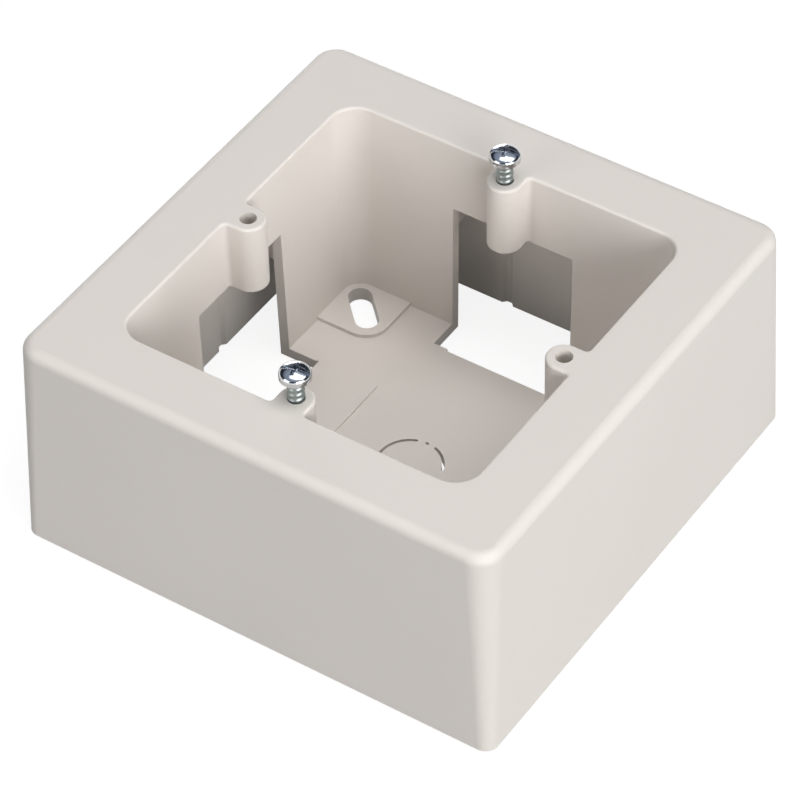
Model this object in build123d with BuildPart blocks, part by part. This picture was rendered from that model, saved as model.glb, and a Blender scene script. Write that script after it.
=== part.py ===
from build123d import *
import os
from math import cos, isclose, radians, tan

os.makedirs("parts", exist_ok=True)

# Surface switch box, millimetres. The back rim stands on Z = 0 and the open front faces +Z.
# The box is one moulding: an outer skirt and an inner square well, both hung from the front
# flange, with the gap between them open at the back. Two pan-head screws stand half driven
# in the bosses on the -Y and +Y sides.

# Outer skirt and front flange
back_width = 90.0
box_height = 41.5
skirt_draft = 1.0
skirt_wall = 2.4
skirt_inner_radius = 1.2
back_corner_radius = 2.3
front_corner_radius = 4.2
front_edge_radius = 1.8
flange_thickness = 2.2

# Inner well
mouth_width = 65.3
mouth_corner_radius = 4.6
mouth_edge_radius = 0.5
well_draft = 1.45
well_wall = 1.8
floor_thickness = 2.0

# Screw bosses, which stand 60 mm apart across the well
boss_from_mouth_edge = 2.65
boss_radius = 3.0
boss_length = 13.7
boss_foot_radius = 0.3
boss_root_radius = 0.8
bore_diameter = 2.9

# Windows in the well walls, which run on into floor notches below the bosses. Each notch is
# a little deeper except for a shoulder at one end.
window_half_width = 11.7
notch_clearance = 1.0
notch_shoulder_place = 9.0
notch_shoulder_depth = 0.45

# Slots for the wall screws, on raised pads in two opposite corners of the floor
slot_width = 4.2
slot_length = 10.2
slot_from_middle = 37.1
pad_height = 0.7
pad_inner_place = 20.2
pad_corner_radius = 4.2
pad_wall_overlap = 0.1

# Round knock-out near the middle of the floor, held by three bridges
knockout_place = (0.6, -0.3)
knockout_radius = 5.6
knockout_slit_width = 0.5
knockout_slits = ((19, 73), (111, 194), (228, 343))
knockout_dot_angles = (90.5, 92.5)

# Low raised panel of the floor beside the -X notch
panel_half_width = 12.4
panel_edge_place = 13.9
panel_height = 0.3
panel_corner_radius = 0.8

# Pair of break-out grooves with sloping flanks up the inside of each skirt wall
groove_place = 7.5
groove_width = 2.2
groove_depth = 0.65
groove_flank_slope = 45

# Webs below the flange that tie the well to the skirt
web_place = 16.0
web_thickness = 1.2
web_foot_height = 17.2

# Pan-head fixing screws
screw_clearance = 0.05
screw_length = 16.0
screw_standing_out = 4.5
head_diameter = 5.4
head_height = 2.0
head_rim_height = 0.8
tip_chamfer = 0.5
drive_slot_width = 0.8
drive_slot_depth = 0.9
drive_cross_length = 3.2
drive_cross_width = 0.7
drive_cross_depth = 1.4

# Sizes that follow from those above
skirt_slope = tan(radians(skirt_draft))
front_width = back_width - 2 * box_height * skirt_slope
hollow_height = box_height - flange_thickness
hollow_width = back_width - 2 * skirt_wall
well_outer_width = mouth_width + 2 * well_wall
well_outer_radius = mouth_corner_radius + well_wall
well_depth = box_height - floor_thickness
well_foot_width = mouth_width - 2 * well_depth * tan(radians(well_draft))
wall_middle = (mouth_width + well_wall) / 2
boss_place = mouth_width / 2 - boss_from_mouth_edge
boss_foot = box_height - boss_length
wall_at_boss_foot = mouth_width / 2 - boss_length * tan(radians(well_draft))
notch_inner_place = boss_place - boss_radius - notch_clearance
notch_reach = well_outer_width / 2 + well_wall - notch_inner_place
pad_outer_place = well_foot_width / 2 + pad_wall_overlap
pad_side = pad_outer_place - pad_inner_place
pad_middle = (pad_outer_place + pad_inner_place) / 2
slot_place = slot_from_middle * cos(radians(45))
groove_base = groove_width + 2 * groove_depth / tan(radians(groove_flank_slope))
web_middle = (well_outer_width / 2 + hollow_width / 2) / 2
web_length = (hollow_width - well_outer_width) / 2 + skirt_wall / 2
sides = (0, 90, 180, 270)
near = 0.05


def facing_back(height):
    """Level plane at a height, facing the back of the box."""
    return Plane(origin=(0, 0, height), x_dir=(1, 0, 0), z_dir=(0, 0, -1))


def from_middle(edge):
    """How far an edge lies from the middle of the box, towards the side that it is nearest."""
    return max(abs(edge.center().X), abs(edge.center().Y))


with BuildPart() as box_body:
    # Outer form, with rounder corners at the front than at the back rim
    with BuildSketch(Plane.XY):
        RectangleRounded(back_width, back_width, back_corner_radius)
    with BuildSketch(Plane.XY.offset(box_height)):
        RectangleRounded(front_width, front_width, front_corner_radius)
    loft(ruled=True)
    fillet(box_body.faces().sort_by(Axis.Z)[-1].edges(), front_edge_radius)

    # Hollow behind the flange, open at the back
    with BuildSketch(Plane.XY):
        RectangleRounded(hollow_width, hollow_width, skirt_inner_radius)
    extrude(amount=hollow_height, taper=skirt_draft, mode=Mode.SUBTRACT)

    # Break-out grooves that follow the draft of the skirt
    for angle in sides:
        rise = Vector(-skirt_slope, 0, 1).rotate(Axis.Z, angle)
        with BuildSketch(Plane.XY.rotated((0, 0, angle))):
            with Locations((hollow_width / 2, groove_place), (hollow_width / 2, -groove_place)):
                Trapezoid(groove_base, 2 * groove_depth, groove_flank_slope, rotation=-90)
        extrude(amount=hollow_height, dir=rise, mode=Mode.SUBTRACT)

    # Inner well, hung from the flange down to the wall that the box stands on
    with BuildSketch(facing_back(hollow_height)):
        RectangleRounded(well_outer_width, well_outer_width, well_outer_radius)
    extrude(amount=hollow_height, taper=well_draft)

    # Webs from the well to the skirt, beside each window
    with BuildSketch(Plane.XY.offset(web_foot_height)):
        for angle in sides:
            with Locations(Location((0, 0, 0), (0, 0, angle))):
                with Locations((web_middle, web_place), (web_middle, -web_place)):
                    Rectangle(web_length, web_thickness)
    extrude(amount=hollow_height - web_foot_height)

    # Cavity of the well, and its softened mouth
    with BuildSketch(facing_back(box_height)):
        RectangleRounded(mouth_width, mouth_width, mouth_corner_radius)
    extrude(amount=well_depth, taper=well_draft, mode=Mode.SUBTRACT)

    # Bosses in the middle of each side, flush with the flange, with softened feet and roots
    with BuildSketch(Plane.XY.offset(boss_foot)):
        with PolarLocations(boss_place, len(sides)):
            Circle(boss_radius)
        with PolarLocations((boss_place + wall_middle) / 2, len(sides)):
            Rectangle(wall_middle - boss_place, 2 * boss_radius)
    extrude(amount=boss_length)
    boss_edges = box_body.edges().filter_by(lambda edge: isclose(edge.length, boss_length, abs_tol=near))
    roots = boss_edges.filter_by(lambda edge: from_middle(edge) > boss_place + near)
    fillet(roots, boss_root_radius)
    boss_feet = box_body.faces().filter_by_position(Axis.Z, boss_foot - near, boss_foot + near)
    foot_edges = boss_feet.edges().filter_by(lambda edge: from_middle(edge) < wall_at_boss_foot - near)
    fillet(foot_edges, boss_foot_radius)
    front_face = box_body.faces().sort_by(Axis.Z)[-1]
    fillet(front_face.inner_wires()[0].edges(), mouth_edge_radius)
    with BuildSketch(Plane.XY.offset(boss_foot)):
        with PolarLocations(boss_place, len(sides)):
            Circle(bore_diameter / 2)
    extrude(amount=boss_length, mode=Mode.SUBTRACT)

    # Low panel beside the -X notch
    with BuildSketch(Plane.XY.offset(floor_thickness)):
        with Locations((-(notch_inner_place + panel_edge_place) / 2, 0)):
            RectangleRounded(
                notch_inner_place - panel_edge_place, 2 * panel_half_width, panel_corner_radius
            )
    extrude(amount=panel_height)

    # Windows up to the foot of each boss, open through the floor below it
    with BuildSketch(Plane.XY):
        with PolarLocations(notch_inner_place + notch_reach / 2, len(sides)):
            Rectangle(notch_reach, 2 * window_half_width)
        with PolarLocations(notch_inner_place, len(sides)):
            with Locations((0, (notch_shoulder_place - window_half_width) / 2)):
                Rectangle(2 * notch_shoulder_depth, notch_shoulder_place + window_half_width)
    extrude(amount=boss_foot, mode=Mode.SUBTRACT)

    # Corner pads and the slots through them
    with BuildSketch(Plane.XY.offset(floor_thickness)) as corner_pads:
        with Locations((-pad_middle, pad_middle), (pad_middle, -pad_middle)):
            Rectangle(pad_side, pad_side)
        inner_corners = corner_pads.vertices().sort_by_distance((0, 0, 0))[:2]
        fillet(inner_corners, pad_corner_radius)
    extrude(amount=pad_height)
    with BuildSketch(Plane.XY):
        with Locations((-slot_place, slot_place), (slot_place, -slot_place)):
            SlotOverall(slot_length, slot_width, rotation=-45)
    extrude(amount=floor_thickness + pad_height, mode=Mode.SUBTRACT)

    # Knock-out slits, with a pin hole in the widest bridge
    with BuildSketch(Plane.XY):
        for start, end in knockout_slits + (knockout_dot_angles,):
            with BuildLine(mode=Mode.PRIVATE) as slit_middle:
                CenterArc(knockout_place, knockout_radius, start, end - start)
            SlotArc(slit_middle.edge(), knockout_slit_width)
    extrude(amount=floor_thickness, mode=Mode.SUBTRACT)

box_body.part.label = "box_body"
export_step(box_body.part, "parts/box_body.step")


head_seat = box_height + screw_standing_out
shank_radius = bore_diameter / 2 - screw_clearance
head_radius = head_diameter / 2

for name, place in (("fixing_screw_front", -boss_place), ("fixing_screw_back", boss_place)):
    with BuildPart() as fixing_screw:
        # Turned profile about the boss axis, measured from the underside of the head
        with BuildSketch(Plane(origin=(0, place, head_seat), x_dir=(1, 0, 0), z_dir=(0, -1, 0))):
            with BuildLine():
                Polyline(
                    (0, head_height),
                    (0, -screw_length),
                    (shank_radius - tip_chamfer, -screw_length),
                    (shank_radius, tip_chamfer - screw_length),
                    (shank_radius, 0),
                    (head_radius, 0),
                    (head_radius, head_rim_height),
                )
                EllipticalCenterArc(
                    (0, head_rim_height),
                    head_radius,
                    head_height - head_rim_height,
                    arc_size=90,
                )
            make_face()
        revolve(axis=Axis((0, place, 0), (0, 0, 1)))

        # Combined drive recess: one slot right across, one shorter cross
        with BuildSketch(Plane((0, place, head_seat + head_height))):
            Rectangle(head_diameter, drive_slot_width)
        extrude(amount=-drive_slot_depth, mode=Mode.SUBTRACT)
        with BuildSketch(Plane((0, place, head_seat + head_height))):
            Rectangle(drive_cross_length, drive_cross_width)
            Rectangle(drive_cross_width, drive_cross_length)
        extrude(amount=-drive_cross_depth, mode=Mode.SUBTRACT)

    fixing_screw.part.label = name
    export_step(fixing_screw.part, f"parts/{name}.step")
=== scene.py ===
from math import cos, pi, radians, sin

import bmesh
import bpy
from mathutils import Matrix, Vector


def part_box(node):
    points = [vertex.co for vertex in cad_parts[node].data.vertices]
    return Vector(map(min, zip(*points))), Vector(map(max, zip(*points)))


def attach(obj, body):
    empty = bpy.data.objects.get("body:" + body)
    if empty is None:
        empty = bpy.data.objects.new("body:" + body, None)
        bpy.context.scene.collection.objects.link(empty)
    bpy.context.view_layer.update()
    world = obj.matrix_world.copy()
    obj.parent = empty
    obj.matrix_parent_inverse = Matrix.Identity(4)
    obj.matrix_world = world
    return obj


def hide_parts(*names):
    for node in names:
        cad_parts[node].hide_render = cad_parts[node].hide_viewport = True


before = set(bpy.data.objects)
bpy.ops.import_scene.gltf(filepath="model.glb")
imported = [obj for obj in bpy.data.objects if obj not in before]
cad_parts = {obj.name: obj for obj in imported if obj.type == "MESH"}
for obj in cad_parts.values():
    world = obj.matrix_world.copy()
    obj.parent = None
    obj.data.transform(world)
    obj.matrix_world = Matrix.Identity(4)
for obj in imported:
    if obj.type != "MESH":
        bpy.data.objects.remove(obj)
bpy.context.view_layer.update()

bpy.ops.object.select_all(action="DESELECT")


# Camera
# The photograph looks down on the box across its near corner, from about 0.7 m, with a long
# lens: close enough for the two front edges to converge a little.
camera_place = (0.28236, -0.41354, 0.50732)
camera_turn = (45.550, 0.984, 33.470)
lens_mm = 194.16

bpy.ops.object.camera_add(location=camera_place, rotation=[radians(turn) for turn in camera_turn])
camera = bpy.context.object
camera.name = "camera"
camera.data.sensor_fit = "HORIZONTAL"
camera.data.sensor_width = 36
camera.data.lens = lens_mm
camera.data.clip_start = 0.01
camera.data.clip_end = 20
bpy.context.scene.camera = camera
bpy.context.scene.view_settings.view_transform = "Standard"


# Studio floor
# A pale sheet under the box, wide enough to fill every view. A glow that only direct,
# mirrored and transmitted rays see brings it up to white, and leaves a faint shadow on it.
floor_half = 6.0
floor_drop = 0.0002
floor_grey = (0.20, 0.20, 0.20, 1)
floor_glow = 0.88


def seen_rays(nodes, links):
    """Output that is 1 for direct, mirrored and transmitted rays, and 0 for those that light."""
    rays = nodes.new("ShaderNodeLightPath")
    seen = nodes.new("ShaderNodeMath")
    seen.operation = "MAXIMUM"
    seen_or_through = nodes.new("ShaderNodeMath")
    seen_or_through.operation = "MAXIMUM"
    links.new(rays.outputs["Is Camera Ray"], seen.inputs[0])
    links.new(rays.outputs["Is Glossy Ray"], seen.inputs[1])
    links.new(seen.outputs[0], seen_or_through.inputs[0])
    links.new(rays.outputs["Is Transmission Ray"], seen_or_through.inputs[1])
    return seen_or_through.outputs[0]


bpy.ops.mesh.primitive_plane_add(size=2 * floor_half, location=(0, 0, -floor_drop))
studio_floor = bpy.context.object
studio_floor.name = "studio_floor"
sheet = bpy.data.materials.new("pale_sheet")
sheet.use_nodes = True
nodes, links = sheet.node_tree.nodes, sheet.node_tree.links
nodes.clear()
output = nodes.new("ShaderNodeOutputMaterial")
paper = nodes.new("ShaderNodeBsdfDiffuse")
paper.inputs["Color"].default_value = floor_grey
glow = nodes.new("ShaderNodeEmission")
lit_sheet = nodes.new("ShaderNodeAddShader")
glow_seen = nodes.new("ShaderNodeMath")
glow_seen.operation = "MULTIPLY"
glow_seen.inputs[1].default_value = floor_glow
links.new(seen_rays(nodes, links), glow_seen.inputs[0])
links.new(glow_seen.outputs[0], glow.inputs["Strength"])
links.new(paper.outputs[0], lit_sheet.inputs[0])
links.new(glow.outputs[0], lit_sheet.inputs[1])
links.new(lit_sheet.outputs[0], output.inputs["Surface"])
studio_floor.data.materials.append(sheet)


# Studio light
# A dark room with soft boxes overhead and all round, strongest on the right, so that the right
# face is brighter than the left one. The white backdrop all round, the dark walls above it and
# the blue-grey ceiling are seen directly and in the screws.
room_dark = (0.072, 0.070, 0.070, 1)
room_bands = (
    (0.560, (1.000, 1.000, 1.000, 1)),
    (0.600, (0.012, 0.014, 0.018, 1)),
    (0.780, (0.020, 0.024, 0.032, 1)),
    (0.880, (0.260, 0.310, 0.400, 1)),
)

studio_room = bpy.data.worlds.new("studio_room")
bpy.context.scene.world = studio_room
studio_room.use_nodes = True
nodes, links = studio_room.node_tree.nodes, studio_room.node_tree.links
nodes.clear()
output = nodes.new("ShaderNodeOutputWorld")
room = nodes.new("ShaderNodeBackground")
room.inputs["Color"].default_value = room_dark
backdrop = nodes.new("ShaderNodeBackground")
direction = nodes.new("ShaderNodeTexCoord")
upwards = nodes.new("ShaderNodeSeparateXYZ")
height = nodes.new("ShaderNodeMapRange")
height.inputs["From Min"].default_value = -1
backdrop_colour = nodes.new("ShaderNodeValToRGB")
bands = backdrop_colour.color_ramp.elements
bands.remove(bands[1])
for position, colour in room_bands:
    bands.new(position).color = colour
bands.remove(bands[0])
choose = nodes.new("ShaderNodeMixShader")
links.new(direction.outputs["Generated"], upwards.inputs["Vector"])
links.new(upwards.outputs["Z"], height.inputs["Value"])
links.new(height.outputs["Result"], backdrop_colour.inputs["Fac"])
links.new(backdrop_colour.outputs["Color"], backdrop.inputs["Color"])
links.new(seen_rays(nodes, links), choose.inputs[0])
links.new(room.outputs["Background"], choose.inputs[1])
links.new(backdrop.outputs["Background"], choose.inputs[2])
links.new(choose.outputs[0], output.inputs["Surface"])


lamp_aim = Vector((0, 0, 0.02))


def soft_box(name, place, size, watts):
    """Square area lamp that faces the middle of the box."""
    bpy.ops.object.light_add(type="AREA", location=place)
    lamp = bpy.context.object
    lamp.name = name
    lamp.data.shape = "SQUARE"
    lamp.data.size = size
    lamp.data.energy = watts
    lamp.rotation_euler = (lamp_aim - Vector(place)).to_track_quat("-Z", "Y").to_euler()


soft_box("light_high_right", (0.60, 0.20, 1.30), 0.7, 5.6)
soft_box("light_low_right", (1.30, -0.30, 0.50), 0.7, 3.7)
soft_box("light_front_right", (1.15, -0.75, 0.45), 0.8, 12.0)
soft_box("light_front_left", (-0.50, -1.15, 0.55), 0.8, 3.9)
soft_box("light_overhead", (0.00, 0.00, 1.40), 0.9, 5.4)
soft_box("light_back_left", (-1.05, 1.10, 0.08), 0.8, 8.0)


# Box moulding
# One injection moulding in warm white plastic with a fine satin skin. The solid carries the
# shape, so it keeps its own mesh and gets the plastic here: faint flow mottling, a fine grain
# and a very slight unevenness of gloss.
plastic_colour = (0.818, 0.774, 0.730, 1)
plastic_flow = (0.798, 0.754, 0.709, 1)
flow_scale = 38
grain_scale = 2600
grain_height = 0.00004
gloss_range = (0.44, 0.56)

plastic = bpy.data.materials.new("box_plastic")
plastic.use_nodes = True
nodes, links = plastic.node_tree.nodes, plastic.node_tree.links
nodes.clear()
output = nodes.new("ShaderNodeOutputMaterial")
shader = nodes.new("ShaderNodeBsdfPrincipled")
shader.inputs["IOR"].default_value = 1.5
shader.inputs["Specular IOR Level"].default_value = 0.4
place = nodes.new("ShaderNodeTexCoord")
flow = nodes.new("ShaderNodeTexNoise")
flow.inputs["Scale"].default_value = flow_scale
flow.inputs["Detail"].default_value = 4
flow_tint = nodes.new("ShaderNodeMix")
flow_tint.data_type = "RGBA"
flow_tint.inputs["A"].default_value = plastic_colour
flow_tint.inputs["B"].default_value = plastic_flow
grain = nodes.new("ShaderNodeTexNoise")
grain.inputs["Scale"].default_value = grain_scale
grain.inputs["Detail"].default_value = 3
gloss = nodes.new("ShaderNodeMapRange")
gloss.inputs["To Min"].default_value = gloss_range[0]
gloss.inputs["To Max"].default_value = gloss_range[1]
skin = nodes.new("ShaderNodeBump")
skin.inputs["Strength"].default_value = 0.12
skin.inputs["Distance"].default_value = grain_height
for texture in (flow, grain):
    links.new(place.outputs["Object"], texture.inputs["Vector"])
links.new(flow.outputs["Fac"], flow_tint.inputs["Factor"])
links.new(flow_tint.outputs["Result"], shader.inputs["Base Color"])
links.new(flow.outputs["Fac"], gloss.inputs["Value"])
links.new(gloss.outputs["Result"], shader.inputs["Roughness"])
links.new(grain.outputs["Fac"], skin.inputs["Height"])
links.new(skin.outputs["Normal"], shader.inputs["Normal"])
links.new(shader.outputs["BSDF"], output.inputs["Surface"])

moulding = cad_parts["box_body"]
for slot in moulding.material_slots:
    slot.material = plastic


# Fixing screws
# Two thread-forming screws, cold headed from steel wire, thread rolled and zinc plated. Each
# has a low bright pan head above a duller thread, with a combined slot and cross recess whose
# darker zinc is painted shade, and stands part driven in its boss.
head_radius = 0.00263
head_height = 0.0020
rim_height = 0.0008
foot_round = 0.00008
foot_scale = 0.975
dome_rings = 12
crown_scale = 0.35
shank_radius = 0.00140
root_radius = 0.00121
thread_pitch = 0.0011
thread_flank = (
    (root_radius, 0.0),
    (root_radius, 0.30),
    (shank_radius, 0.56),
    (shank_radius, 0.66),
    (root_radius, 0.92),
    (root_radius, 1.0),
)
thread_steps = 48
shank_length = 0.0160
shank_overlap = 0.0002
tip_scale = 0.70
slot_width = 0.0009
slot_depth = 0.0008
cross_reach = 0.0019
cross_width = 0.0008
cross_depth = 0.0014
cross_taper = 0.62
recess_bevel = 0.00005
head_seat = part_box("fixing_screw_front")[1].z - head_height
thread_zinc = (0.37, 0.41, 0.40, 1)
thread_dulling = 0.26
plating_scale = 900
plating_height = 0.00005


def zinc_finish(name, dark_zinc, pale_zinc, sharpest, dullest):
    """Mottled zinc plating that turns duller and greener on the thread below the head."""
    zinc = bpy.data.materials.new(name)
    zinc.use_nodes = True
    nodes, links = zinc.node_tree.nodes, zinc.node_tree.links
    nodes.clear()
    output = nodes.new("ShaderNodeOutputMaterial")
    shader = nodes.new("ShaderNodeBsdfPrincipled")
    shader.inputs["Metallic"].default_value = 1.0
    place = nodes.new("ShaderNodeTexCoord")
    plating = nodes.new("ShaderNodeTexNoise")
    plating.inputs["Scale"].default_value = plating_scale
    plating.inputs["Detail"].default_value = 5
    zinc_tint = nodes.new("ShaderNodeMix")
    zinc_tint.data_type = "RGBA"
    zinc_tint.inputs["A"].default_value = dark_zinc
    zinc_tint.inputs["B"].default_value = pale_zinc
    polish = nodes.new("ShaderNodeMapRange")
    polish.inputs["To Min"].default_value = sharpest
    polish.inputs["To Max"].default_value = dullest
    height = nodes.new("ShaderNodeSeparateXYZ")
    thread_part = nodes.new("ShaderNodeMapRange")
    thread_part.inputs["From Min"].default_value = head_seat + 0.0001
    thread_part.inputs["From Max"].default_value = head_seat
    zinc_or_thread = nodes.new("ShaderNodeMix")
    zinc_or_thread.data_type = "RGBA"
    zinc_or_thread.inputs["B"].default_value = thread_zinc
    dulling = nodes.new("ShaderNodeMath")
    dulling.operation = "MULTIPLY_ADD"
    dulling.inputs[1].default_value = thread_dulling
    hammer = nodes.new("ShaderNodeBump")
    hammer.inputs["Strength"].default_value = 0.15
    hammer.inputs["Distance"].default_value = plating_height
    links.new(place.outputs["Object"], plating.inputs["Vector"])
    links.new(plating.outputs["Fac"], zinc_tint.inputs["Factor"])
    links.new(place.outputs["Object"], height.inputs["Vector"])
    links.new(height.outputs["Z"], thread_part.inputs["Value"])
    links.new(thread_part.outputs["Result"], zinc_or_thread.inputs["Factor"])
    links.new(zinc_tint.outputs["Result"], zinc_or_thread.inputs["A"])
    links.new(zinc_or_thread.outputs["Result"], shader.inputs["Base Color"])
    links.new(plating.outputs["Fac"], polish.inputs["Value"])
    links.new(thread_part.outputs["Result"], dulling.inputs[0])
    links.new(polish.outputs["Result"], dulling.inputs[2])
    links.new(dulling.outputs["Value"], shader.inputs["Roughness"])
    links.new(plating.outputs["Fac"], hammer.inputs["Height"])
    links.new(hammer.outputs["Normal"], shader.inputs["Normal"])
    links.new(shader.outputs["BSDF"], output.inputs["Surface"])
    return zinc


screw_zinc = zinc_finish("screw_zinc", (0.60, 0.62, 0.65, 1), (0.74, 0.75, 0.76, 1), 0.10, 0.24)
# Darker zinc for the inside of the recess: painted shade where the recess lies in its own shade.
recess_painted_shade = zinc_finish("recess_painted_shade", (0.32, 0.34, 0.38, 1), (0.58, 0.60, 0.64, 1), 0.14, 0.30)


def apply_modifier(piece, kind, **settings):
    """Adds one modifier, sets it and applies it."""
    modifier = piece.modifiers.new(kind.lower(), kind)
    for setting, value in settings.items():
        setattr(modifier, setting, value)
    bpy.context.view_layer.objects.active = piece
    bpy.ops.object.modifier_apply(modifier=modifier.name)


def raise_rim(height, scale):
    """Lifts the open face of the shape being edited and scales it."""
    bpy.ops.mesh.extrude_region_move(TRANSFORM_OT_translate={"value": (0, 0, height)})
    bpy.ops.transform.resize(value=(scale, scale, 1))


def pan_head():
    """Head of the screw with its underside at zero height, before its recess is cut."""
    bpy.ops.mesh.primitive_circle_add(vertices=96, radius=head_radius, fill_type="NGON")
    head = bpy.context.object
    bpy.ops.object.mode_set(mode="EDIT")
    bpy.ops.mesh.select_all(action="SELECT")
    bpy.ops.transform.resize(value=(foot_scale, foot_scale, 1))
    raise_rim(foot_round, 1 / foot_scale)
    raise_rim(rim_height - foot_round, 1)
    dome_height = head_height - rim_height
    last_reach, last_rise = 1.0, 0.0
    for ring in range(1, dome_rings):
        reach = cos(pi / 2 * ring / dome_rings)
        rise = sin(pi / 2 * ring / dome_rings)
        raise_rim((rise - last_rise) * dome_height, reach / last_reach)
        last_reach, last_rise = reach, rise
    raise_rim((1 - last_rise) * dome_height, crown_scale)
    bpy.ops.mesh.select_all(action="SELECT")
    bpy.ops.mesh.normals_make_consistent(inside=False)
    bpy.ops.object.mode_set(mode="OBJECT")
    return head


def recess_blade(length, width, depth, taper, turn):
    """Bar that cuts one blade of the recess, narrower and shorter at its foot."""
    bpy.ops.mesh.primitive_cube_add(size=1, location=(0, 0, head_height))
    blade = bpy.context.object
    # The cut faces take this darker zinc, which is painted shade inside the recess.
    blade.data.materials.append(recess_painted_shade)
    blade.scale = (length, width, 2 * depth)
    blade.rotation_euler = (0, 0, turn)
    bpy.ops.object.transform_apply(location=True, rotation=True, scale=True)
    bpy.ops.object.mode_set(mode="EDIT")
    bpy.ops.mesh.select_all(action="DESELECT")
    edit = bmesh.from_edit_mesh(blade.data)
    for face in edit.faces:
        face.select_set(face.normal.z < -0.9)
    bmesh.update_edit_mesh(blade.data)
    bpy.ops.transform.resize(value=(taper, taper, 1), center_override=(0, 0, 0))
    bpy.ops.object.mode_set(mode="OBJECT")
    return blade


def threaded_shank():
    """Thread as one helical skin, cut square at both ends and chamfered at its tip."""
    turns = int(shank_length / thread_pitch) + 3
    bpy.ops.mesh.primitive_circle_add(vertices=3, radius=0.001)
    shank = bpy.context.object
    edit = bmesh.new()
    corners = [edit.verts.new((reach, 0, part * thread_pitch)) for reach, part in thread_flank]
    for lower, upper in zip(corners, corners[1:]):
        edit.edges.new((lower, upper))
    edit.to_mesh(shank.data)
    edit.free()
    apply_modifier(
        shank,
        "SCREW",
        angle=2 * pi,
        screw_offset=thread_pitch,
        iterations=turns,
        steps=thread_steps,
        render_steps=thread_steps,
        use_merge_vertices=True,
        merge_threshold=0.000002,
    )
    bpy.ops.object.mode_set(mode="EDIT")
    bpy.ops.mesh.select_all(action="SELECT")
    bpy.ops.transform.translate(value=(0, 0, -shank_length - 1.5 * thread_pitch))
    bpy.ops.mesh.remove_doubles(threshold=0.000003)
    for height, side in ((-shank_length, -1), (shank_overlap, 1)):
        bpy.ops.mesh.select_all(action="SELECT")
        bpy.ops.mesh.bisect(
            plane_co=(0, 0, height),
            plane_no=(0, 0, side),
            use_fill=True,
            clear_outer=True,
            clear_inner=False,
        )
        if side < 0:
            bpy.ops.transform.resize(
                value=(tip_scale, tip_scale, 1), center_override=(0, 0, height)
            )
    bpy.ops.mesh.select_all(action="SELECT")
    bpy.ops.mesh.normals_make_consistent(inside=False)
    bpy.ops.object.mode_set(mode="OBJECT")
    return shank


head = pan_head()
head.data.materials.append(screw_zinc)
for blade in (
    recess_blade(3 * head_radius, slot_width, slot_depth, 1.0, 0),
    recess_blade(2 * cross_reach, cross_width, cross_depth, cross_taper, 0),
    recess_blade(2 * cross_reach, cross_width, cross_depth, cross_taper, pi / 2),
):
    apply_modifier(
        head,
        "BOOLEAN",
        object=blade,
        operation="DIFFERENCE",
        solver="EXACT",
        material_mode="TRANSFER",
    )
    bpy.data.objects.remove(blade)
apply_modifier(
    head, "BEVEL", width=recess_bevel, segments=2, limit_method="ANGLE", angle_limit=radians(35)
)
shank = threaded_shank()
shank.data.materials.append(screw_zinc)
bpy.ops.object.select_all(action="DESELECT")
shank.select_set(True)
head.select_set(True)
bpy.context.view_layer.objects.active = head
bpy.ops.object.join()
screw_pattern = head
bpy.ops.object.select_all(action="DESELECT")
screw_pattern.select_set(True)
bpy.ops.object.shade_smooth_by_angle(angle=radians(32))

for node, drive_turn in (("fixing_screw_front", 12), ("fixing_screw_back", 20)):
    low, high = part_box(node)
    screw = screw_pattern.copy()
    screw.data = screw_pattern.data.copy()
    screw.name = node.replace("fixing", "threaded")
    bpy.context.collection.objects.link(screw)
    bpy.ops.object.select_all(action="DESELECT")
    screw.select_set(True)
    bpy.context.view_layer.objects.active = screw
    screw.location = ((low.x + high.x) / 2, (low.y + high.y) / 2, high.z - head_height)
    screw.rotation_euler = (0, 0, radians(drive_turn))
    bpy.ops.object.transform_apply(location=True, rotation=True, scale=True)
    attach(screw, "screw_" + node.rsplit("_", 1)[1])
    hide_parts(node)
bpy.data.objects.remove(screw_pattern)
